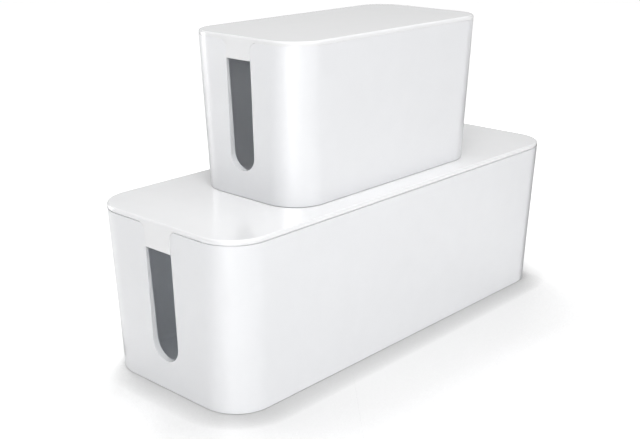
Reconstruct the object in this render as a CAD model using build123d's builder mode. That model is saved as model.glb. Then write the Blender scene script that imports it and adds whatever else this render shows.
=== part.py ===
from build123d import *
import os
from dataclasses import dataclass

# A pair of cable management boxes: a large one on the floor, and a small one that stands on its lid.
# Each is a tapered shell with a cable slot in both end walls, a lid whose end tabs close the tops of
# the slots, and four rubber feet. Millimetres, +Z up. The origin is on the floor under the middle of
# the large box, and +X runs along its length.

# ---- Driving dimensions: the large box ----
large_length = 400.0  # outside, at the rim
large_width = 155.0  # outside, at the rim
large_height = 133.0  # floor to the top of the lid
large_corner = 31.0  # corner radius in plan, at the rim
large_foot_corner = 31.0  # corner radius in plan, at the underside
large_lean = 4.4  # how far each wall leans in between the rim and the underside
large_slot_width = 28.0
large_slot_bottom = 24.3  # floor to the lowest point of the slot
large_slot_flare = 7.0  # radius where the slot opens out at the rim
large_tab_drop = 21.2  # top of the lid to the tab's lower edge
large_seam_gap = 0.65  # height of the shadow gap under the lid
large_cross_ribs = 4  # ribs across the underside of the lid

# ---- Driving dimensions: the small box ----
small_length = 229.0
small_width = 116.0
small_height = 121.5
small_corner = 26.0
small_foot_corner = 28.0
small_lean = 3.4
small_slot_width = 25.0
small_slot_bottom = 21.1
small_slot_flare = 6.5
small_tab_drop = 16.8
small_seam_gap = 0.12
small_cross_ribs = 2
small_offset_x = -7.3  # where the small box stands on the large lid
small_offset_y = -4.0

# ---- Driving dimensions: walls, shared by both boxes ----
wall_rim = 1.8  # wall thickness at the rim
wall_foot = 5.4  # wall thickness at the underside: the core has more draft than the outside
floor_thickness = 3.0
underside_radius = 0.8  # rounding of the outer edge of the underside
floor_radius = 4.0  # rounding inside, between walls and floor
seam_depth = 0.5  # how far the shadow gap under the lid goes in

# ---- Driving dimensions: lids ----
lid_rim = 3.4  # height of the lid's rim above the seam
lid_skin = 2.4  # thickness of the lid's flat top
lid_radius = 1.8  # rounding of the lid's top edge
lip_depth = 8.0  # how far the locating lip reaches below the seam
lip_thickness = 1.8
lip_clearance = 0.35  # between the lip and the inside of the wall
lip_lead = 0.6  # chamfer round the lip's lower outer edge
tab_thickness = 2.8
tab_clearance = 0.3  # between the tab and each side of the slot
tab_radius = 0.6  # rounding of the tab's outer edges
rib_thickness = 1.4
rib_depth = 4.0  # how far a rib hangs below the lid's skin

# ---- Driving dimensions: rubber feet ----
foot_diameter = 13.0
foot_thickness = 1.2
foot_recess = 0.9  # depth of the recess that a foot is stuck into
foot_clearance = 0.25  # round the foot, in its recess
foot_radius = 0.25  # rounding of the foot's lower edge
foot_margin = 22.0  # from the edges of the underside to a foot's centre

stand_off = foot_thickness - foot_recess
overlap = 1.0  # how far joined or cut forms run into each other


@dataclass
class BoxSize:
    """The sizes of one box, with the heights and insets that follow from them."""

    name: str
    length: float
    width: float
    height: float
    corner: float
    foot_corner: float
    lean: float
    slot_width: float
    slot_bottom: float
    slot_flare: float
    tab_drop: float
    seam_gap: float
    cross_ribs: int
    x: float
    y: float
    z: float  # the surface that the box stands on

    def __post_init__(self):
        self.underside = self.z + stand_off
        self.floor_top = self.underside + floor_thickness
        self.lid_top = self.z + self.height
        self.seam = self.lid_top - lid_rim
        self.ledge = self.seam - self.seam_gap
        self.lip_low = self.seam - lip_depth
        self.tab_low = self.lid_top - self.tab_drop
        self.slot_low = self.z + self.slot_bottom

    def plane(self, z):
        """The level plane at one height, centred on the box."""
        return Plane((self.x, self.y, z))

    def end_plane(self, end):
        """The upright plane across the box at one end (-1 or 1) or its middle (0), with Z as its second axis."""
        return Plane((self.x + end * self.length / 2, self.y, 0), x_dir=(0, 1, 0), z_dir=(1, 0, 0))

    def below_rim(self, z):
        """How far down the wall a height is: 0 at the seam, 1 at the underside."""
        return (self.seam - z) / (self.seam - self.underside)

    def wall(self, z):
        """The wall's thickness at one height."""
        return wall_rim + (wall_foot - wall_rim) * self.below_rim(z)

    def foot_spots(self):
        """The four foot centres in plan, measured from the middle of the box."""
        across = self.length / 2 - self.lean - foot_margin
        along = self.width / 2 - self.lean - foot_margin
        return {
            "front_left": (-across, -along),
            "front_right": (across, -along),
            "back_left": (-across, along),
            "back_right": (across, along),
        }


large = BoxSize(
    name="large",
    length=large_length,
    width=large_width,
    height=large_height,
    corner=large_corner,
    foot_corner=large_foot_corner,
    lean=large_lean,
    slot_width=large_slot_width,
    slot_bottom=large_slot_bottom,
    slot_flare=large_slot_flare,
    tab_drop=large_tab_drop,
    seam_gap=large_seam_gap,
    cross_ribs=large_cross_ribs,
    x=0.0,
    y=0.0,
    z=0.0,
)
small = BoxSize(
    name="small",
    length=small_length,
    width=small_width,
    height=small_height,
    corner=small_corner,
    foot_corner=small_foot_corner,
    lean=small_lean,
    slot_width=small_slot_width,
    slot_bottom=small_slot_bottom,
    slot_flare=small_slot_flare,
    tab_drop=small_tab_drop,
    seam_gap=small_seam_gap,
    cross_ribs=small_cross_ribs,
    x=small_offset_x,
    y=small_offset_y,
    z=large.lid_top,
)


def outline(box, z, inset=0.0):
    """The box's rounded outline at one height, drawn in from the outside of the wall by inset."""
    drawn_in = box.lean * box.below_rim(z) + inset
    corner = box.corner + (box.foot_corner - box.corner) * box.below_rim(z) - inset
    with BuildSketch(box.plane(z)) as section:
        RectangleRounded(box.length - 2 * drawn_in, box.width - 2 * drawn_in, corner)
    return section.sketch


def cavity(box):
    """The space inside the walls, from the floor up past the seam."""
    top = box.seam + overlap
    with BuildPart() as core:
        loft([outline(box, z, box.wall(z)) for z in (box.floor_top, top)], ruled=True)
        fillet(core.faces().sort_by(Axis.Z)[0].edges(), floor_radius)
    return core.part


def slot_profile(box, end=0, inset=0.0, low=None):
    """The U-shaped slot seen from the end, with its flared top, drawn in by inset and cut off below low."""
    half = box.slot_width / 2
    side = half - inset
    arc_z = box.slot_low + half
    flare_x = half + box.slot_flare
    flare_z = box.seam - box.slot_flare
    flare_top = box.seam + inset
    with BuildSketch(box.end_plane(end)) as profile:
        with BuildLine():
            Line((side, arc_z), (side, flare_z))
            CenterArc((flare_x, flare_z), box.slot_flare + inset, 180, -90)
            Polyline((flare_x, flare_top), (flare_x, flare_top + overlap), (0, flare_top + overlap))
            CenterArc((0, arc_z), side, -90, 90)
            mirror(about=Plane.YZ)
        make_face()
        if low is not None:
            with Locations((0, low)):
                Rectangle(box.width, box.height, align=(Align.CENTER, Align.MIN), mode=Mode.INTERSECT)
    return profile.sketch


def make_shell(box, core):
    """The open box: tapered walls, a floor, the land that the lid rests on, and a slot in each end."""
    with BuildPart() as shell:
        loft([outline(box, z) for z in (box.underside, box.ledge)], ruled=True)
        fillet(shell.faces().sort_by(Axis.Z)[0].edges(), underside_radius)
        loft([outline(box, z, seam_depth) for z in (box.ledge - overlap, box.seam)], ruled=True)
        add(core, mode=Mode.SUBTRACT)
        extrude(slot_profile(box), amount=box.length, both=True, mode=Mode.SUBTRACT)
        with BuildSketch(box.plane(box.underside)):
            with Locations(*box.foot_spots().values()):
                Circle(foot_diameter / 2 + foot_clearance)
        extrude(amount=foot_recess, mode=Mode.SUBTRACT)
    shell.part.label = f"{box.name}_box"
    return shell.part


def make_tab(box, end):
    """The tab that hangs from the lid at one end and closes the top of the slot."""
    with BuildPart() as tab:
        extrude(slot_profile(box, end, tab_clearance, box.tab_low), amount=-end * tab_thickness)
        outer_face = tab.faces().sort_by(Axis.X)[-1 if end > 0 else 0]
        fillet(outer_face.edges().filter_by(lambda edge: edge.center().Z < box.seam), tab_radius)
    return tab.part


def make_lid(box, tabs):
    """The lid: a flat top with a rim, a lip that drops inside the walls, ribs, and a tab at each end."""
    skin_low = box.lid_top - lid_skin
    lip_outside = (
        (box.lip_low, lip_clearance + lip_lead),
        (box.lip_low + lip_lead, lip_clearance),
        (skin_low, lip_clearance),
    )
    lip_inside = [(z, lip_clearance + lip_thickness) for z in (box.lip_low, skin_low)]
    lip_middle = wall_rim + lip_clearance + lip_thickness / 2
    rib_run = box.length - 2 * lip_middle
    rib_span = box.width - 2 * lip_middle
    rib_pitch = rib_run / (box.cross_ribs + 1)
    with BuildPart() as lid:
        with BuildSketch(box.plane(box.seam)):
            RectangleRounded(box.length, box.width, box.corner)
        extrude(amount=lid_rim)
        fillet(lid.faces().sort_by(Axis.Z)[-1].edges(), lid_radius)
        loft([outline(box, z, box.wall(z) + inset) for z, inset in lip_outside], ruled=True)
        loft([outline(box, z, box.wall(z) + inset) for z, inset in lip_inside], ruled=True, mode=Mode.SUBTRACT)
        with BuildSketch(box.plane(skin_low - rib_depth)):
            with GridLocations(rib_pitch, 0, box.cross_ribs, 1):
                Rectangle(rib_thickness, rib_span)
            Rectangle(rib_run, rib_thickness)
        extrude(amount=rib_depth + overlap)
        add(tabs)
    lid.part.label = f"{box.name}_lid"
    return lid.part


def make_foot(box, name, spot):
    """One rubber foot, stuck into its recess."""
    with BuildPart() as foot:
        with BuildSketch(box.plane(box.z)):
            with Locations(spot):
                Circle(foot_diameter / 2)
        extrude(amount=foot_thickness)
        fillet(foot.faces().sort_by(Axis.Z)[0].edges(), foot_radius)
    foot.part.label = f"{box.name}_foot_{name}"
    return foot.part


os.makedirs("parts", exist_ok=True)
for box in (large, small):
    shell = make_shell(box, cavity(box))
    lid = make_lid(box, [make_tab(box, end) for end in (-1, 1)])
    feet = [make_foot(box, name, spot) for name, spot in box.foot_spots().items()]
    for piece in (shell, lid, *feet):
        export_step(piece, f"parts/{piece.label}.step")
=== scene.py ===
import math
from contextlib import contextmanager
from dataclasses import dataclass, replace
from itertools import pairwise

import bmesh
import bpy
from bpy.props import FloatProperty, FloatVectorProperty, IntProperty, PointerProperty
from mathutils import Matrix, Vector


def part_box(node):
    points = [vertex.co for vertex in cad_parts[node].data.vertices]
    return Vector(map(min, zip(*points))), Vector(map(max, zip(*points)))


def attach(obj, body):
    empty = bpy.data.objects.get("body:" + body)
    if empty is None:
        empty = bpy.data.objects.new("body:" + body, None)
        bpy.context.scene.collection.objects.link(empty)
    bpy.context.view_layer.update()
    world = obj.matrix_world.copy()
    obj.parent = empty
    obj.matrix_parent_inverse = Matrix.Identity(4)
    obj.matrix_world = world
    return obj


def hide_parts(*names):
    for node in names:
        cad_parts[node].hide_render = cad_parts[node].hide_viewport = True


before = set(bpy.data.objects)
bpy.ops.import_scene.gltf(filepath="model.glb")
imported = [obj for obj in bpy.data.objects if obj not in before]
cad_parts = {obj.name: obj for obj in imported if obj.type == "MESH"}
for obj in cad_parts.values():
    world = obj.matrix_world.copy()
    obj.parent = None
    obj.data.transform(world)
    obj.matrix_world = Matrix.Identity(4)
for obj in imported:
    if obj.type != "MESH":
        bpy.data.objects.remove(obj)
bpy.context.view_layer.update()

bl_info = {
    "name": "Cable Management Box",
    "version": (1, 0, 0),
    "blender": (4, 5, 0),
    "location": "3D View > Sidebar > Cable Box",
    "description": "Models a large and a small lidded cable box on their solids, and sets up a studio",
    "category": "Add Mesh",
}

BOXES = ("large", "small")
CORNERS = ("front_left", "front_right", "back_left", "back_right")
MM = 0.001
NEAR = 0.02 * MM  # two places nearer than this are the same
OVERLAP = 1.0 * MM  # how far a joined or cutting form runs into the next
RAISED = 10.0 * MM  # how far above the last outline the next one is drawn
CORNER_STEPS = 24  # faces round a quarter turn of the big corners and of a slot's lower end
ROUND_STEPS = 4  # faces round a small rounded edge
FINE_STEPS = 2  # faces round the crisp edges at the seam
SLOT_STEPS = 3  # faces round the slot's outer edge
WIDE_STEPS = 6  # faces round the lid's top edge and the inner edge of the floor
FLARE_STEPS = 10  # faces round the slot's flare
DISC_STEPS = 48  # faces round a foot
FLARE_REACH = 1.5  # how far a slot form runs out past its flare, in flare radii
FACING = 0.9  # a face whose normal has at least this share along a direction faces that way
SMOOTH_ANGLE = math.radians(32.0)  # edges sharper than this stay crisp


# ---------------------------------------------------------------- settings


def length(name, default_mm, description):
    """A length, given in millimetres and kept in metres."""
    return FloatProperty(
        name=name, description=description, default=default_mm * MM, min=0.0, precision=5, unit="LENGTH"
    )


def angle(name, default_degrees, description):
    """An angle, given in degrees and kept in radians."""
    default = math.radians(default_degrees)
    return FloatProperty(name=name, description=description, default=default, subtype="ANGLE")


def number(name, default, description):
    """A whole number."""
    return IntProperty(name=name, description=description, default=default, min=0)


def share(name, default, description, most=1.0):
    """A plain number from 0 up to its most."""
    return FloatProperty(name=name, description=description, default=default, min=0.0, max=most)


def colour(name, default, description):
    """A linear colour."""
    return FloatVectorProperty(
        name=name, description=description, default=default, size=3, min=0.0, max=1.0, subtype="COLOR"
    )


class LargeBoxSizes(bpy.types.PropertyGroup):
    """What the solids' own boxes don't say about the large box."""

    corner: length("Corner", 31.0, "Corner radius in plan, at the rim")
    foot_corner: length("Foot corner", 31.0, "Corner radius in plan, at the underside")
    lean: length("Lean", 4.4, "How far each wall leans in on its way down")
    seam_gap: length("Seam gap", 0.65, "Height of the shadow gap under the lid")
    seam_depth: length("Seam depth", 1.2, "How far in the shadow gap under the lid goes")
    slot_width: length("Slot width", 28.0, "Width of the cable slot")
    slot_rise: length("Slot rise", 24.0, "Underside to the lowest point of the slot")
    slot_flare: length("Slot flare", 7.0, "Radius where the slot opens out at the rim")
    cross_ribs: number("Cross ribs", 4, "Ribs across the underside of the lid")


class SmallBoxSizes(bpy.types.PropertyGroup):
    """What the solids' own boxes don't say about the small box."""

    corner: length("Corner", 26.0, "Corner radius in plan, at the rim")
    foot_corner: length("Foot corner", 28.0, "Corner radius in plan, at the underside")
    lean: length("Lean", 3.4, "How far each wall leans in on its way down")
    seam_gap: length("Seam gap", 0.12, "Height of the shadow gap under the lid")
    seam_depth: length("Seam depth", 0.25, "How far in the shadow gap under the lid goes")
    slot_width: length("Slot width", 25.0, "Width of the cable slot")
    slot_rise: length("Slot rise", 20.8, "Underside to the lowest point of the slot")
    slot_flare: length("Slot flare", 6.5, "Radius where the slot opens out at the rim")
    cross_ribs: number("Cross ribs", 2, "Ribs across the underside of the lid")


class WallSizes(bpy.types.PropertyGroup):
    """The walls of both shells."""

    rim: length("Rim", 1.8, "Wall thickness at the rim")
    foot: length("Foot", 5.4, "Wall thickness at the underside")
    floor: length("Floor", 3.0, "Thickness of the floor")
    underside_radius: length("Underside radius", 0.5, "Rounding round the underside")
    floor_radius: length("Floor radius", 4.0, "Rounding inside, between walls and floor")
    edge: length("Edge", 0.12, "Rounding of the crisp edges at the seam")
    slot_edge: length("Slot edge", 0.7, "Rounding of the slot's outer edge")


class LidSizes(bpy.types.PropertyGroup):
    """The lids, their lips, tabs and ribs."""

    skin: length("Skin", 2.4, "Thickness of the flat top")
    radius: length("Radius", 1.8, "Rounding of the top edge")
    lip_depth: length("Lip depth", 8.0, "How far the locating lip reaches below the seam")
    lip_thickness: length("Lip thickness", 1.8, "Thickness of the locating lip")
    lip_clearance: length("Lip clearance", 0.35, "Room between the lip and the wall")
    lip_lead: length("Lip lead", 0.6, "Chamfer round the lip's lower edge")
    tab_thickness: length("Tab thickness", 2.8, "Thickness of the tab that closes the slot")
    tab_clearance: length("Tab clearance", 0.15, "Room between the tab and each side of the slot")
    tab_radius: length("Tab radius", 0.6, "Rounding of the tab's outer edges")
    rib_thickness: length("Rib thickness", 1.4, "Thickness of the ribs under the lid")
    rib_depth: length("Rib depth", 4.0, "How far the ribs hang below the skin")


class FootSizes(bpy.types.PropertyGroup):
    """The stick-on rubber feet."""

    recess: length("Recess", 0.9, "Depth of the recess that a foot sits in")
    clearance: length("Clearance", 0.25, "Room round a foot in its recess")
    radius: length("Radius", 0.25, "Rounding of a foot's lower edge")
    ring: length("Ring", 1.8, "Width of the plain ring round the sunk middle")
    sink: length("Sink", 0.15, "How far the middle of a foot is sunk")


class PlasticLook(bpy.types.PropertyGroup):
    """The moulded white plastic of the shells and lids."""

    shell: colour("Shell", (0.775, 0.782, 0.800), "Colour of the shells")
    lid: colour("Lid", (0.830, 0.833, 0.842), "Colour of the lids")
    shell_roughness: share("Shell roughness", 0.45, "Middle roughness of the shells")
    lid_roughness: share("Lid roughness", 0.36, "Middle roughness of the lids")
    shell_coat_roughness: share("Shell gloss roughness", 0.36, "Roughness of the shells' glossy skin")
    lid_coat_roughness: share("Lid gloss roughness", 0.16, "Roughness of the lids' glossy skin")
    mottle: share("Mottle", 0.012, "How much the colour varies over the surface")
    grain: length("Grain", 0.004, "Height of the fine moulding grain")
    waviness: length("Waviness", 0.05, "Height of the slow waves that moulding leaves")


class RubberLook(bpy.types.PropertyGroup):
    """The dark rubber of the feet."""

    colour: colour("Colour", (0.16, 0.16, 0.165), "Colour of the feet")
    roughness: share("Roughness", 0.78, "Middle roughness of the feet")


class StudioLook(bpy.types.PropertyGroup):
    """The camera's place, the lamps, the surroundings and the floor."""

    azimuth: angle("Azimuth", -47.54, "Direction of the camera, from the front")
    elevation: angle("Elevation", 18.32, "How high the camera looks from")
    distance: length("Distance", 843.89, "Camera to the point that it looks at")
    target: FloatVectorProperty(
        name="Target",
        description="The point that the camera looks at",
        default=(-0.03773, -0.00722, 0.09685),
        subtype="TRANSLATION",
        unit="LENGTH",
    )
    lens: FloatProperty(name="Lens", description="Focal length in millimetres", default=58.19, min=1.0)
    surroundings: share("Surroundings", 0.60, "Brightness of the surroundings", most=4.0)
    right_dimming: share("Right dimming", 0.4, "How much darker the surroundings are at the right end")
    left_dimming: share("Left dimming", 0.75, "How much darker the surroundings are at the left end")
    overhead_dimming: share("Overhead dimming", 1.0, "How much darker the surroundings are overhead")
    floor: share("Floor", 0.8, "Paleness of the floor")
    # Painted shade: where the object stands, the floor's colour is darkened by occlusion, for camera
    # and gloss rays alone
    painted_contact_shade: share("Contact", 0.4, "Paleness of the floor where the object stands on it")
    contact_reach: length("Contact reach", 22.0, "How far the darker floor reaches from the object")
    # Painted shadow: the floor's white glow fades by occlusion within the shadow reach
    shadow_reach: length("Shadow reach", 130.0, "How far the unlifted floor reaches from the object")
    # Painted shadow: the floor's colour is darkened by occlusion within the shadow reach
    painted_soft_shadow: share("Soft shadow", 0.34, "How dark the wide soft shadow is")
    floor_lift: share("Floor lift", 0.72, "How far the floor is lifted to white")
    floor_gloss: share("Floor gloss", 0.12, "How much the floor mirrors")
    floor_roughness: share("Floor roughness", 0.35, "Roughness of the floor's gloss")


class CableBoxSettings(bpy.types.PropertyGroup):
    """Everything that a user would change."""

    large: PointerProperty(type=LargeBoxSizes)
    small: PointerProperty(type=SmallBoxSizes)
    walls: PointerProperty(type=WallSizes)
    lids: PointerProperty(type=LidSizes)
    feet: PointerProperty(type=FootSizes)
    plastic: PointerProperty(type=PlasticLook)
    rubber: PointerProperty(type=RubberLook)
    studio: PointerProperty(type=StudioLook)


# ---------------------------------------------------------------- measures


@dataclass
class Outline:
    """A level rounded rectangle."""

    x: float
    y: float
    z: float
    half_x: float
    half_y: float
    corner: float

    def holds(self, point):
        """Whether a point lies on the outline."""
        across = abs(point.x - self.x) - self.half_x + self.corner
        along = abs(point.y - self.y) - self.half_y + self.corner
        reach = math.hypot(max(across, 0.0), max(along, 0.0)) + min(max(across, along), 0.0)
        return abs(point.z - self.z) < NEAR and abs(reach - self.corner) < NEAR

    def has_edge(self, edge):
        """Whether both ends of an edge lie on the outline."""
        return all(self.holds(vertex.co) for vertex in edge.verts)

    def draw(self):
        """Adds the outline to the mesh that is being edited, as a closed loop of edges."""
        place = (self.x, self.y, self.z)
        bpy.ops.mesh.primitive_plane_add(size=2.0, location=place)
        bpy.ops.transform.resize(value=(self.half_x, self.half_y, 1.0), center_override=place)
        bpy.ops.mesh.bevel(offset=self.corner, segments=CORNER_STEPS, affect="VERTICES")
        bpy.ops.mesh.delete(type="ONLY_FACE")


class Form:
    """One box's measures: its outside from the solids, and the rest from the settings."""

    def __init__(self, name):
        settings = bpy.context.scene.cable_box
        self.name = name
        self.sizes = getattr(settings, name)
        self.walls = settings.walls
        self.lids = settings.lids
        box_low, box_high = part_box(f"{name}_box")
        lid_low, lid_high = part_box(f"{name}_lid")
        self.x = (lid_low.x + lid_high.x) / 2
        self.y = (lid_low.y + lid_high.y) / 2
        self.length = lid_high.x - lid_low.x
        self.width = lid_high.y - lid_low.y
        self.underside = box_low.z
        self.seam = box_high.z
        self.tab_low = lid_low.z
        self.lid_top = lid_high.z
        self.floor_top = self.underside + self.walls.floor
        self.ledge = self.seam - self.sizes.seam_gap
        self.skin_low = self.lid_top - self.lids.skin
        self.slot_low = self.underside + self.sizes.slot_rise
        self.slot_half = self.sizes.slot_width / 2
        self.arc_z = self.slot_low + self.slot_half
        self.flare_z = self.seam - self.sizes.slot_flare

    def below_rim(self, z):
        """How far down the wall a height is: 0 at the seam, 1 at the underside."""
        return (self.seam - z) / (self.seam - self.underside)

    def wall(self, z):
        """The wall's thickness at one height."""
        return self.walls.rim + (self.walls.foot - self.walls.rim) * self.below_rim(z)

    def outline(self, z, inset=0.0):
        """The outline at one height, drawn in from the outside of the wall."""
        down = self.below_rim(z)
        drawn_in = self.sizes.lean * down + inset
        corner = self.sizes.corner + (self.sizes.foot_corner - self.sizes.corner) * down - inset
        return Outline(self.x, self.y, z, self.length / 2 - drawn_in, self.width / 2 - drawn_in, corner)

    def rim_outline(self, z):
        """The outline of the lid's upright rim."""
        return Outline(self.x, self.y, z, self.length / 2, self.width / 2, self.sizes.corner)

    def on_slot(self, point):
        """Whether a point lies on the slot's outline, seen from the end."""
        off = abs(point.y - self.y)
        if point.z < self.arc_z:
            miss = math.hypot(off, point.z - self.arc_z) - self.slot_half
        elif point.z < self.flare_z:
            miss = off - self.slot_half
        else:
            flare = self.sizes.slot_flare
            miss = math.hypot(off - self.slot_half - flare, point.z - self.flare_z) - flare
        return abs(miss) < NEAR

    def on_end_wall(self, point):
        """Whether a point lies on the outside of an end wall."""
        return abs(abs(point.x - self.x) - self.outline(point.z).half_x) < NEAR

    def foot_spots(self):
        """The lowest and the highest corner of each foot's own box, from the solids."""
        return {corner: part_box(f"{self.name}_foot_{corner}") for corner in CORNERS}


# ---------------------------------------------------------------- modelling


def new_piece(name):
    """An empty mesh at the origin, ready for edit mode."""
    piece = bpy.data.objects.new(name, bpy.data.meshes.new(name))
    bpy.context.scene.collection.objects.link(piece)
    return piece


@contextmanager
def editing(piece):
    """Edit mode on one piece alone, with nothing selected."""
    bpy.ops.object.select_all(action="DESELECT")
    bpy.context.view_layer.objects.active = piece
    piece.select_set(True)
    bpy.ops.object.mode_set(mode="EDIT")
    bpy.ops.mesh.select_all(action="DESELECT")
    yield
    bpy.ops.object.mode_set(mode="OBJECT")


def pick(piece, elements, wanted):
    """Selects, in edit mode, the vertices, edges or faces of a piece that are wanted."""
    modes = {"verts": "VERT", "edges": "EDGE", "faces": "FACE"}
    bpy.ops.mesh.select_mode(type=modes[elements])
    bpy.ops.mesh.select_all(action="DESELECT")
    mesh = bmesh.from_edit_mesh(piece.data)
    for element in getattr(mesh, elements):
        element.select_set(wanted(element))
    mesh.select_flush_mode()
    bmesh.update_edit_mesh(piece.data)


def round_edges(piece, wanted, radius, steps=ROUND_STEPS):
    """Rounds off the wanted edges, in edit mode."""
    pick(piece, "edges", wanted)
    bpy.ops.mesh.bevel(offset=radius, segments=steps, affect="EDGES", clamp_overlap=True)


def bridge_outlines(piece, outlines):
    """Joins outlines in turn with bands of faces, and closes the first and the last.

    Each is drawn straight above the one before and bridged to it there, and then moved to its own
    height, because two outlines at one height can be bridged the wrong way round.
    """
    outlines[0].draw()
    for one, other in pairwise(outlines):
        raised = replace(other, z=one.z + RAISED)
        raised.draw()
        pick(piece, "edges", lambda edge: one.has_edge(edge) or raised.has_edge(edge))
        bpy.ops.mesh.bridge_edge_loops()
        pick(piece, "edges", raised.has_edge)
        bpy.ops.transform.translate(value=(0.0, 0.0, other.z - raised.z))
    for end in (outlines[0], outlines[-1]):
        pick(piece, "edges", end.has_edge)
        bpy.ops.mesh.edge_face_add()


def face_outwards():
    """Merges doubles and turns all faces outwards, in edit mode."""
    bpy.ops.mesh.select_all(action="SELECT")
    bpy.ops.mesh.remove_doubles(threshold=NEAR / 4)
    bpy.ops.mesh.normals_make_consistent(inside=False)


def add_block(low, high):
    """Adds a block between two corners to the mesh that is being edited."""
    low, high = Vector(low), Vector(high)
    middle = (low + high) / 2
    bpy.ops.mesh.primitive_cube_add(size=1.0, location=middle)
    bpy.ops.transform.resize(value=high - low, center_override=middle)


def apply_modifier(piece, kind, **settings):
    """Adds one modifier to a piece and applies it."""
    modifier = piece.modifiers.new(kind.title(), kind)
    for setting, value in settings.items():
        setattr(modifier, setting, value)
    with bpy.context.temp_override(object=piece, active_object=piece, selected_objects=[piece]):
        bpy.ops.object.modifier_apply(modifier=modifier.name)


def combine(piece, other, operation):
    """Joins a second form to a piece or cuts it out of it, and removes the second form."""
    apply_modifier(piece, "BOOLEAN", operation=operation, object=other, solver="EXACT")
    bpy.data.meshes.remove(other.data)


def finish_surface(piece):
    """Smooth shading with crisp edges, in which flat faces stay flat."""
    with editing(piece):
        face_outwards()
    bpy.ops.object.shade_smooth_by_angle(angle=SMOOTH_ANGLE)
    apply_modifier(piece, "WEIGHTED_NORMAL", keep_sharp=True)


def slot_form(form, near_x, far_x, low, inset=0.0):
    """A block as wide as the slot, flared at the rim, between two places along the box."""
    half = form.slot_half - inset
    flare = form.sizes.slot_flare + inset
    # A hair above the rim, so that the flare's flat underside doesn't lie in the rim's own plane
    flare_top = form.seam + inset + NEAR / 2
    top = flare_top + OVERLAP
    block = new_piece("slot_form")
    with editing(block):
        add_block((near_x, form.y - half, low), (far_x, form.y + half, top))
        bpy.ops.mesh.bisect(plane_co=(0.0, 0.0, flare_top), plane_no=(0.0, 0.0, 1.0))
        for side in (-1, 1):
            pick(
                block,
                "faces",
                lambda face: face.normal.y * side > FACING and face.calc_center_median().z > flare_top,
            )
            outwards = (0.0, side * flare * FLARE_REACH, 0.0)
            bpy.ops.mesh.extrude_region_move(TRANSFORM_OT_translate={"value": outwards})
        round_edges(
            block,
            lambda edge: all(
                abs(v.co.z - flare_top) < NEAR / 4 and abs(abs(v.co.y - form.y) - half) < NEAR / 4
                for v in edge.verts
            ) and abs(edge.verts[0].co.y - edge.verts[1].co.y) < NEAR,
            flare,
            steps=FLARE_STEPS,
        )
    return block


def round_slot_foot(form, block):
    """Rounds the lower end of a slot form to a half circle."""
    # A hair less than half the width, so that the two roundings don't run into each other
    radius = form.slot_half - NEAR / 10
    with editing(block):
        round_edges(
            block,
            lambda edge: all(abs(v.co.z - form.slot_low) < NEAR for v in edge.verts)
            and abs(edge.verts[0].co.y - edge.verts[1].co.y) < NEAR,
            radius,
            steps=CORNER_STEPS,
        )
        face_outwards()


def model_shell(form):
    """The open box: tapered walls, a floor, the lid's land, a slot in each end and foot recesses."""
    walls = form.walls
    shell = new_piece(f"{form.name}_shell")
    underside = form.outline(form.underside)
    ledge = form.outline(form.ledge)
    floor = form.outline(form.floor_top, form.wall(form.floor_top))
    with editing(shell):
        bridge_outlines(
            shell,
            [
                underside,
                ledge,
                form.outline(form.ledge, form.sizes.seam_depth),
                form.outline(form.seam, form.sizes.seam_depth),
                form.outline(form.seam, walls.rim),
                floor,
            ],
        )
        round_edges(shell, underside.has_edge, walls.underside_radius)
        round_edges(shell, floor.has_edge, walls.floor_radius, steps=WIDE_STEPS)
        round_edges(shell, ledge.has_edge, walls.edge, steps=FINE_STEPS)
        face_outwards()
    cutter = slot_form(form, form.x - form.length, form.x + form.length, form.slot_low)
    round_slot_foot(form, cutter)
    combine(shell, cutter, "DIFFERENCE")
    combine(shell, recess_cutter(form), "DIFFERENCE")
    with editing(shell):
        round_edges(
            shell,
            lambda edge: all(form.on_slot(v.co) and form.on_end_wall(v.co) for v in edge.verts),
            walls.slot_edge,
            steps=SLOT_STEPS,
        )
    finish_surface(shell)
    return shell


def recess_cutter(form):
    """Four short discs that cut the feet's recesses."""
    feet = bpy.context.scene.cable_box.feet
    cutter = new_piece("recess_cutter")
    with editing(cutter):
        for low, high in form.foot_spots().values():
            middle = (low + high) / 2
            top = form.underside + feet.recess
            bpy.ops.mesh.primitive_cylinder_add(
                vertices=DISC_STEPS,
                radius=(high.x - low.x) / 2 + feet.clearance,
                depth=feet.recess + OVERLAP,
                location=(middle.x, middle.y, top - (feet.recess + OVERLAP) / 2),
            )
    return cutter


def model_tab(form, end):
    """The tab that closes the top of the slot at one end."""
    lids = form.lids
    front = form.x + end * form.length / 2
    back = front - end * lids.tab_thickness
    tab = slot_form(form, min(front, back), max(front, back), form.tab_low, lids.tab_clearance)
    with editing(tab):
        round_edges(
            tab,
            lambda edge: all(abs(v.co.x - front) < NEAR for v in edge.verts)
            and (edge.verts[0].co.z + edge.verts[1].co.z) / 2 < form.seam,
            lids.tab_radius,
        )
        face_outwards()
    return tab


def model_ribs(form):
    """The ribs under the lid, one block each."""
    lids = form.lids
    lip_middle = form.walls.rim + lids.lip_clearance + lids.lip_thickness / 2
    run = form.length / 2 - lip_middle
    span = form.width / 2 - lip_middle
    low, high = form.skin_low - lids.rib_depth, form.skin_low + OVERLAP
    half = lids.rib_thickness / 2
    pitch = 2 * run / (form.sizes.cross_ribs + 1)
    corners = [((form.x - run, form.y - half, low), (form.x + run, form.y + half, high))]
    for step in range(1, form.sizes.cross_ribs + 1):
        x = form.x - run + step * pitch
        corners.append(((x - half, form.y - span, low), (x + half, form.y + span, high)))
    for near, far in corners:
        rib = new_piece("rib")
        with editing(rib):
            add_block(near, far)
        yield rib


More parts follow.
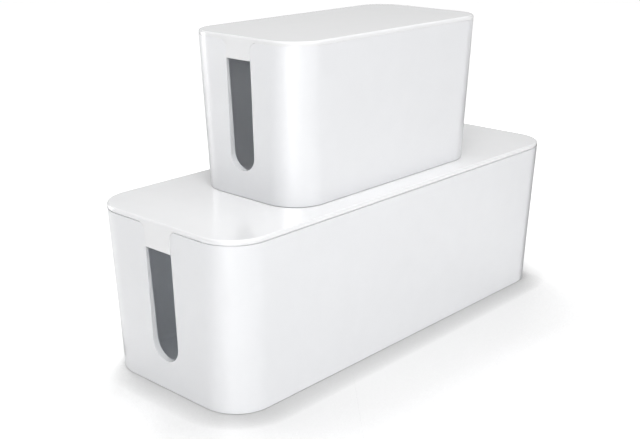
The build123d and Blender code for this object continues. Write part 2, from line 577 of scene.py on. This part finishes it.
def model_lid(form):
    """The lid: a flat top with a rounded rim, a locating lip, ribs, and a tab at each end."""
    lids = form.lids
    lip_low = form.seam - lids.lip_depth
    lead_top = lip_low + lids.lip_lead
    top = form.rim_outline(form.lid_top)
    rim_low = form.rim_outline(form.seam)

    def lip(z, inset):
        return form.outline(z, form.wall(z) + lids.lip_clearance + inset)

    lid = new_piece(f"{form.name}_cover")
    with editing(lid):
        bridge_outlines(
            lid,
            [
                top,
                rim_low,
                lip(form.seam, 0.0),
                lip(lead_top, 0.0),
                lip(lip_low, lids.lip_lead),
                lip(lip_low, lids.lip_thickness),
                lip(form.skin_low, lids.lip_thickness),
            ],
        )
        round_edges(lid, top.has_edge, lids.radius, steps=WIDE_STEPS)
        round_edges(lid, rim_low.has_edge, form.walls.edge, steps=FINE_STEPS)
        face_outwards()
    for rib in model_ribs(form):
        combine(lid, rib, "UNION")
    for end in (-1, 1):
        combine(lid, model_tab(form, end), "UNION")
    finish_surface(lid)
    return lid


def model_foot(name, low, high):
    """A rubber disc with a rounded lower edge and a shallow sunk middle."""
    feet = bpy.context.scene.cable_box.feet
    radius = (high.x - low.x) / 2
    foot = new_piece(name)
    with editing(foot):
        bpy.ops.mesh.primitive_cylinder_add(
            vertices=DISC_STEPS, radius=radius, depth=high.z - low.z, location=(low + high) / 2
        )
        pick(foot, "faces", lambda face: face.normal.z < -FACING)
        bpy.ops.mesh.inset(thickness=feet.ring)
        bpy.ops.mesh.inset(thickness=feet.sink, depth=-feet.sink)
        round_edges(
            foot,
            lambda edge: all(
                abs(v.co.z - low.z) < NEAR and (v.co - (low + high) / 2).xy.length > radius - NEAR
                for v in edge.verts
            ),
            feet.radius,
        )
    finish_surface(foot)
    return foot


# ---------------------------------------------------------------- shading


class Wire:
    """A shader socket that can stand in a sum: each operation adds its Math node."""

    def __init__(self, graph, socket):
        self.graph = graph
        self.socket = socket

    def combined(self, operation, one, other):
        node = self.graph.add("ShaderNodeMath", {"operation": operation}, {0: one, 1: other})
        return Wire(self.graph, node.outputs[0])

    def __add__(self, other):
        return self.combined("ADD", self, other)

    def __sub__(self, other):
        return self.combined("SUBTRACT", self, other)

    def __rsub__(self, other):
        return self.combined("SUBTRACT", other, self)

    def __mul__(self, other):
        return self.combined("MULTIPLY", self, other)

    def at_least(self, other):
        return self.combined("MAXIMUM", self, other)


class Graph:
    """The nodes of one material or world."""

    def __init__(self, owner):
        owner.use_nodes = True
        self.tree = owner.node_tree
        self.tree.nodes.clear()

    def add(self, kind, settings=None, inputs=None):
        """Adds a node of one type: its settings first, then the values or wires of its sockets."""
        node = self.tree.nodes.new(kind)
        for setting, value in (settings or {}).items():
            setattr(node, setting, value)
        for socket, value in (inputs or {}).items():
            if isinstance(value, Wire):
                self.tree.links.new(value.socket, node.inputs[socket])
            else:
                node.inputs[socket].default_value = value
        return node

    def wire(self, kind, output, settings=None, inputs=None):
        """Adds a node and gives the wire from one of its outputs."""
        return Wire(self, self.add(kind, settings, inputs).outputs[output])

    def noise(self, place, scale, detail=2.0):
        """Noise from 0 to 1 over a place, with so many lumps to a metre."""
        return self.wire(
            "ShaderNodeTexNoise", "Fac", inputs={"Vector": place, "Scale": scale, "Detail": detail}
        )

    def bump(self, height, relief=1.0, strength=1.0):
        """The normal that a height gives, with so much relief to a height of 1."""
        return self.wire(
            "ShaderNodeBump",
            "Normal",
            inputs={"Strength": strength, "Distance": relief, "Height": height},
        )

    def vector(self, operation, output, one, other=None):
        """One output of a vector operation on one or two vectors."""
        inputs = {0: one} if other is None else {0: one, 1: other}
        return self.wire("ShaderNodeVectorMath", output, {"operation": operation}, inputs)

    def ramp(self, value, start, end):
        """A smooth step: 0 where a value is at the start, and 1 where it is at the end."""
        return self.wire(
            "ShaderNodeMapRange",
            "Result",
            {"interpolation_type": "SMOOTHSTEP"},
            {"Value": value, "From Min": start, "From Max": end, "To Min": 0.0, "To Max": 1.0},
        )

    def mixed(self, factor, one, other):
        """A colour between two others."""
        return self.wire(
            "ShaderNodeMix", 2, {"data_type": "RGBA"}, {"Factor": factor, "A": one, "B": other}
        )


def rgba(values, share_of=1.0):
    """A colour as four numbers."""
    return (*[value * share_of for value in values], 1.0)


# How fine each texture is, in lumps to a metre
GRAIN_SCALE = 2400.0
CLOUD_SCALE = 55.0
WAVE_SCALE = 14.0
SPECKLE_SCALE = 1500.0
PATCH_SCALE = 220.0

# How much each texture changes what it drives
CLOUD_START = 0.3  # the noise at which the plastic starts to darken
CLOUD_GAIN = 1.6
PLASTIC_SPREAD = 0.08  # of the plastic's roughness
RUBBER_SPREAD = 0.2  # of the rubber's roughness
RUBBER_DARKEST = 0.72  # of the rubber's colour
RUBBER_RELIEF = 0.05 * MM
RUBBER_BUMP = 0.6
NOISE_MIDDLE = 0.5

WHITE = rgba((1.0, 1.0, 1.0))


def plastic(name, base, roughness, coat_roughness):
    """Moulded plastic: fine grain, slow waves, and a colour and gloss that vary a little."""
    look = bpy.context.scene.cable_box.plastic
    material = bpy.data.materials.new(name)
    graph = Graph(material)
    place = graph.wire("ShaderNodeTexCoord", "Object")
    grain = graph.noise(place, GRAIN_SCALE)
    waves = graph.noise(place, WAVE_SCALE, detail=1.0)
    clouds = graph.noise(place, CLOUD_SCALE, detail=4.0)
    darker = rgba(base, 1.0 - look.mottle * 2)
    shade = graph.mixed((clouds - CLOUD_START) * CLOUD_GAIN, rgba(base), darker)
    height = grain * look.grain + waves * look.waviness
    bump = graph.bump(height)
    shader = graph.wire(
        "ShaderNodeBsdfPrincipled",
        "BSDF",
        inputs={
            "Base Color": shade,
            "Roughness": (clouds - NOISE_MIDDLE) * PLASTIC_SPREAD + roughness,
            "IOR": 1.5,
            "Coat Weight": 1.0,
            "Coat Roughness": coat_roughness,
            "Normal": bump,
        },
    )
    graph.add("ShaderNodeOutputMaterial", inputs={"Surface": shader})
    return material


def rubber(name):
    """Matt rubber with a fine speckle."""
    look = bpy.context.scene.cable_box.rubber
    material = bpy.data.materials.new(name)
    graph = Graph(material)
    place = graph.wire("ShaderNodeTexCoord", "Object")
    speckle = graph.noise(place, SPECKLE_SCALE, detail=3.0)
    patches = graph.noise(place, PATCH_SCALE)
    bump = graph.bump(speckle, RUBBER_RELIEF, RUBBER_BUMP)
    shader = graph.wire(
        "ShaderNodeBsdfPrincipled",
        "BSDF",
        inputs={
            "Base Color": graph.mixed(patches, rgba(look.colour), rgba(look.colour, RUBBER_DARKEST)),
            "Roughness": (speckle - NOISE_MIDDLE) * RUBBER_SPREAD + look.roughness,
            "Normal": bump,
        },
    )
    graph.add("ShaderNodeOutputMaterial", inputs={"Surface": shader})
    return material


# ---------------------------------------------------------------- operators


def place_piece(piece, body, node, material):
    """Gives a piece its material, its node and the body that it rides on."""
    piece.data.materials.clear()
    piece.data.materials.append(material)
    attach(piece, body)
    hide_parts(node)


class CABLEBOX_OT_shells(bpy.types.Operator):
    """Model both open boxes"""

    bl_idname = "cablebox.shells"
    bl_label = "Shells"

    def execute(self, context):
        look = context.scene.cable_box.plastic
        material = plastic("shell_plastic", look.shell, look.shell_roughness, look.shell_coat_roughness)
        for name in BOXES:
            shell = model_shell(Form(name))
            place_piece(shell, f"{name}_box", f"{name}_box", material)
        return {"FINISHED"}


class CABLEBOX_OT_lids(bpy.types.Operator):
    """Model both lids"""

    bl_idname = "cablebox.lids"
    bl_label = "Lids"

    def execute(self, context):
        look = context.scene.cable_box.plastic
        material = plastic("lid_plastic", look.lid, look.lid_roughness, look.lid_coat_roughness)
        for name in BOXES:
            lid = model_lid(Form(name))
            place_piece(lid, f"{name}_lid", f"{name}_lid", material)
        return {"FINISHED"}


class CABLEBOX_OT_feet(bpy.types.Operator):
    """Model one rubber foot and copy it to each corner of both boxes"""

    bl_idname = "cablebox.feet"
    bl_label = "Rubber feet"

    def execute(self, context):
        material = rubber("foot_rubber")
        pattern = None
        for name in BOXES:
            for corner, (low, high) in Form(name).foot_spots().items():
                if pattern is None:
                    first = (low + high) / 2
                    pattern = foot = model_foot(f"{name}_pad_{corner}", low, high)
                else:
                    foot = bpy.data.objects.new(f"{name}_pad_{corner}", pattern.data.copy())
                    context.scene.collection.objects.link(foot)
                    with editing(foot):
                        bpy.ops.mesh.select_all(action="SELECT")
                        bpy.ops.transform.translate(value=(low + high) / 2 - first)
                place_piece(foot, f"{name}_box", f"{name}_foot_{corner}", material)
        return {"FINISHED"}


class CABLEBOX_OT_studio(bpy.types.Operator):
    """Set up the floor, the surroundings, the lamps and the camera"""

    bl_idname = "cablebox.studio"
    bl_label = "Studio"

    def execute(self, context):
        studio = context.scene.cable_box.studio
        make_floor(studio)
        make_painted_reflection_card()
        make_surroundings(studio)
        make_lamps()
        make_camera(studio)
        context.scene.view_settings.view_transform = "Standard"
        return {"FINISHED"}


FLOOR_SPAN = 200.0  # metres
SHADED_FROM = (0.5, 0.85, 0.15)  # the way in which the floor looks for what shades it
SHADE_SAMPLES = 8  # looks taken from each place on the floor
SHADE_FADES = 0.5  # metres from the middle at which the floor's painted shade starts to fade
SHADE_ENDS = 0.8  # metres from the middle at which it has gone


def openness(graph, reach):
    """How open the floor is on its shaded side: less than 1 where something stands within reach."""
    side = graph.vector("NORMALIZE", "Vector", SHADED_FROM)
    open_share = graph.wire(
        "ShaderNodeAmbientOcclusion",
        "AO",
        {"samples": SHADE_SAMPLES},
        {"Distance": reach, "Normal": side},
    )
    place = graph.wire("ShaderNodeTexCoord", "Object")
    distance = graph.vector("LENGTH", "Value", place)
    return open_share.at_least(graph.ramp(distance, SHADE_FADES, SHADE_ENDS))


def make_floor(studio):
    """A wide pale floor with a faint gloss, which keeps the lamps' shadow, adds a painted shadow near
    the object, and looks white elsewhere.
    """
    bpy.ops.object.select_all(action="DESELECT")
    bpy.ops.mesh.primitive_plane_add(size=FLOOR_SPAN, location=(0.0, 0.0, 0.0))
    floor = bpy.context.active_object
    floor.name = "floor"
    material = bpy.data.materials.new("floor_sheet")
    graph = Graph(material)
    path = graph.add("ShaderNodeLightPath")
    seen = Wire(graph, path.outputs["Is Camera Ray"])
    for other in ("Is Glossy Ray", "Is Transmission Ray"):
        seen = seen.at_least(Wire(graph, path.outputs[other]))
    close = openness(graph, studio.contact_reach)
    wide = openness(graph, studio.shadow_reach)
    open_floor = wide * wide * wide
    # Painted shadow: the white glow fades where the object hides the floor's shaded side
    glow_with_painted_shadow = seen * open_floor * open_floor * studio.floor_lift
    # Painted shade: the floor's colour darkens by occlusion near the object, seen by camera and gloss
    # rays alone
    shade = close * close * ((wide - 1.0) * studio.painted_soft_shadow + 1.0)
    painted_shadow_colour = rgba((studio.painted_contact_shade,) * 3)
    pale = graph.mixed((shade - 1.0) * seen + 1.0, painted_shadow_colour, rgba((studio.floor,) * 3))
    matt = graph.wire("ShaderNodeBsdfDiffuse", "BSDF", inputs={"Color": pale})
    gloss = graph.wire(
        "ShaderNodeBsdfGlossy", "BSDF", inputs={"Color": WHITE, "Roughness": studio.floor_roughness}
    )
    glow = graph.wire("ShaderNodeEmission", "Emission", inputs={"Color": WHITE, "Strength": glow_with_painted_shadow})
    sheet = graph.wire(
        "ShaderNodeMixShader", "Shader", inputs={0: studio.floor_gloss, 1: matt, 2: gloss}
    )
    lifted = graph.wire("ShaderNodeAddShader", "Shader", inputs={0: sheet, 1: glow})
    graph.add("ShaderNodeOutputMaterial", inputs={"Surface": lifted})
    floor.data.materials.append(material)


# A card that paints a dark reflection into the gloss alone
CARD_PLACE = (0.685, 0.368, 0.2 * MM)  # the middle of the card, just above the floor
CARD_TURN = math.radians(-22.0)  # from the object's length
CARD_LENGTH = 1.42  # metres
CARD_WIDTH = 1.2  # metres
CARD_SHADE = 0.02  # nearly black


def make_painted_reflection_card():
    """A dark card flat on the floor behind the object, which only gloss sees.

    It draws a painted dark reflection: the dark edge along the object's far outlines.
    """
    bpy.ops.object.select_all(action="DESELECT")
    bpy.ops.mesh.primitive_plane_add(size=1.0, location=CARD_PLACE, rotation=(0.0, 0.0, CARD_TURN))
    card = bpy.context.active_object
    card.name = "dark_card"
    card.scale = (CARD_LENGTH, CARD_WIDTH, 1.0)
    material = bpy.data.materials.new("dark_card")
    graph = Graph(material)
    black = graph.wire("ShaderNodeBsdfDiffuse", "BSDF", inputs={"Color": rgba((CARD_SHADE,) * 3)})
    graph.add("ShaderNodeOutputMaterial", inputs={"Surface": black})
    card.data.materials.append(material)
    for ray in ("camera", "diffuse", "transmission", "volume_scatter", "shadow"):
        setattr(card, f"visible_{ray}", False)


# Each way in which the surroundings are darker: its direction, and how nearly a view has to point that
# way (1 is straight that way) for the dimming to start and to be full
DIMMED_WAYS = {
    "right_dimming": ((0.95, -0.30, 0.0), 0.6, 0.95),
    "left_dimming": ((-0.98, 0.17, 0.0), 0.5, 0.9),
    "overhead_dimming": ((0.0, 0.0, 1.0), 0.6, 0.8),
}


def make_surroundings(studio):
    """Pale light from all round, with less of it from overhead and from the two ends."""
    world = bpy.data.worlds.new("surroundings")
    bpy.context.scene.world = world
    graph = Graph(world)
    view = graph.wire("ShaderNodeTexCoord", "Generated")
    bright = 1.0
    for dimming, (direction, start, full) in DIMMED_WAYS.items():
        along = graph.vector("DOT_PRODUCT", "Value", view, direction)
        bright = bright - graph.ramp(along, start, full) * getattr(studio, dimming)
    background = graph.wire(
        "ShaderNodeBackground",
        "Background",
        inputs={"Color": WHITE, "Strength": bright * studio.surroundings},
    )
    graph.add("ShaderNodeOutputWorld", inputs={"Surface": background})


@dataclass
class SoftBox:
    """A flat lamp: its middle, the point that it faces, its width and height, and its watts."""

    name: str
    place: tuple
    aim: tuple
    width: float
    height: float
    power: float
    gloss_only: bool = False  # whether it draws highlights and nothing else
    off_lids: bool = False  # whether its light is kept off the lids


STACK_MIDDLE = (0.0, 0.0, 0.1)  # about the middle of both boxes together
SOFT_BOXES = (
    SoftBox("top_softbox", (0.0, 0.0, 1.8), STACK_MIDDLE, 1.0, 1.0, 9.3),
    SoftBox("front_softbox", (-0.62, -0.62, 1.5), STACK_MIDDLE, 0.8, 0.6, 14.6),
    SoftBox("near_softbox", (-1.8, -1.64, 0.8), STACK_MIDDLE, 1.2, 0.5, 9.5),
    SoftBox("side_softbox", (0.35, -0.95, 1.3), STACK_MIDDLE, 0.8, 0.6, 2.2),
    SoftBox(
        "front_strip",
        (-2.11, -1.22, 0.8),
        (0.0, 0.0, 0.15),
        0.8,
        0.5,
        95.0,
        gloss_only=True,
        off_lids=True,
    ),
    SoftBox("left_strip", (-0.65, 1.46, 0.27), (-0.2, 0.0, 0.25), 0.5, 0.5, 10.0, gloss_only=True),
)
FILLS = {  # the place and watts of the lamp inside each box
    "large_fill": ((0.06, 0.0, 0.09), 0.075),
    "small_fill": ((0.03, -0.004, 0.22), 0.015),
}
FILL_RADIUS = 0.02  # metres
FILL_COLOUR = (0.88, 0.95, 1.0)


def add_lamp(kind, name, place, power):
    """Adds a lamp that the camera doesn't see."""
    bpy.ops.object.light_add(type=kind, location=place)
    lamp = bpy.context.active_object
    lamp.name = name
    lamp.data.energy = power
    lamp.visible_camera = False
    return lamp


def keep_off_lids(lamp):
    """Keeps a lamp's light off the lids, so that it draws no glare on them."""
    lids = bpy.data.collections.new("lids_in_shade")
    for name in BOXES:
        lids.objects.link(bpy.data.objects[f"{name}_cover"])
    for lid in lids.collection_objects:
        lid.light_linking.link_state = "EXCLUDE"
    lamp.light_linking.receiver_collection = lids


def make_lamps():
    """Soft boxes round the object, and a faint fill inside each box."""
    for box in SOFT_BOXES:
        lamp = add_lamp("AREA", box.name, box.place, box.power)
        facing = Vector(box.aim) - Vector(box.place)
        lamp.rotation_euler = facing.to_track_quat("-Z", "Y").to_euler()
        lamp.data.shape = "RECTANGLE"
        lamp.data.size = box.width
        lamp.data.size_y = box.height
        lamp.visible_diffuse = not box.gloss_only
        if box.off_lids:
            keep_off_lids(lamp)
    for name, (place, power) in FILLS.items():
        lamp = add_lamp("POINT", name, place, power)
        lamp.data.shadow_soft_size = FILL_RADIUS
        lamp.data.color = FILL_COLOUR
        lamp.visible_glossy = False


SENSOR_WIDTH = 36.0  # millimetres


def make_camera(studio):
    """The camera, which looks down a little from the front left."""
    level = math.cos(studio.elevation)
    across = math.sin(studio.azimuth) * level
    along = -math.cos(studio.azimuth) * level
    away = Vector((across, along, math.sin(studio.elevation)))
    target = Vector(studio.target)
    bpy.ops.object.camera_add(location=target + away * studio.distance)
    camera = bpy.context.active_object
    camera.rotation_euler = away.to_track_quat("Z", "Y").to_euler()
    camera.data.sensor_fit = "HORIZONTAL"
    camera.data.sensor_width = SENSOR_WIDTH
    camera.data.lens = studio.lens
    bpy.context.scene.camera = camera


class CABLEBOX_PT_pieces(bpy.types.Panel):
    """Lists what can be made, with its sizes and colours"""

    bl_idname = "CABLEBOX_PT_pieces"
    bl_label = "Cable Box"
    bl_space_type = "VIEW_3D"
    bl_region_type = "UI"
    bl_category = "Cable Box"

    def draw(self, context):
        settings = context.scene.cable_box
        for operator in OPERATORS:
            self.layout.operator(operator.bl_idname)
        for group in SETTING_GROUPS:
            part = getattr(settings, group)
            column = self.layout.box().column()
            column.label(text=group.title())
            for name in part.__annotations__:
                column.prop(part, name)


OPERATORS = (CABLEBOX_OT_shells, CABLEBOX_OT_lids, CABLEBOX_OT_feet, CABLEBOX_OT_studio)
SETTING_GROUPS = ("large", "small", "walls", "lids", "feet", "plastic", "rubber", "studio")
CLASSES = (
    LargeBoxSizes,
    SmallBoxSizes,
    WallSizes,
    LidSizes,
    FootSizes,
    PlasticLook,
    RubberLook,
    StudioLook,
    CableBoxSettings,
    *OPERATORS,
    CABLEBOX_PT_pieces,
)


def register():
    for part in CLASSES:
        bpy.utils.register_class(part)
    bpy.types.Scene.cable_box = PointerProperty(type=CableBoxSettings)


def unregister():
    del bpy.types.Scene.cable_box
    for part in reversed(CLASSES):
        bpy.utils.unregister_class(part)


def main():
    register()
    bpy.ops.cablebox.shells()
    bpy.ops.cablebox.lids()
    bpy.ops.cablebox.feet()
    bpy.ops.cablebox.studio()


if __name__ == "__main__":
    main()
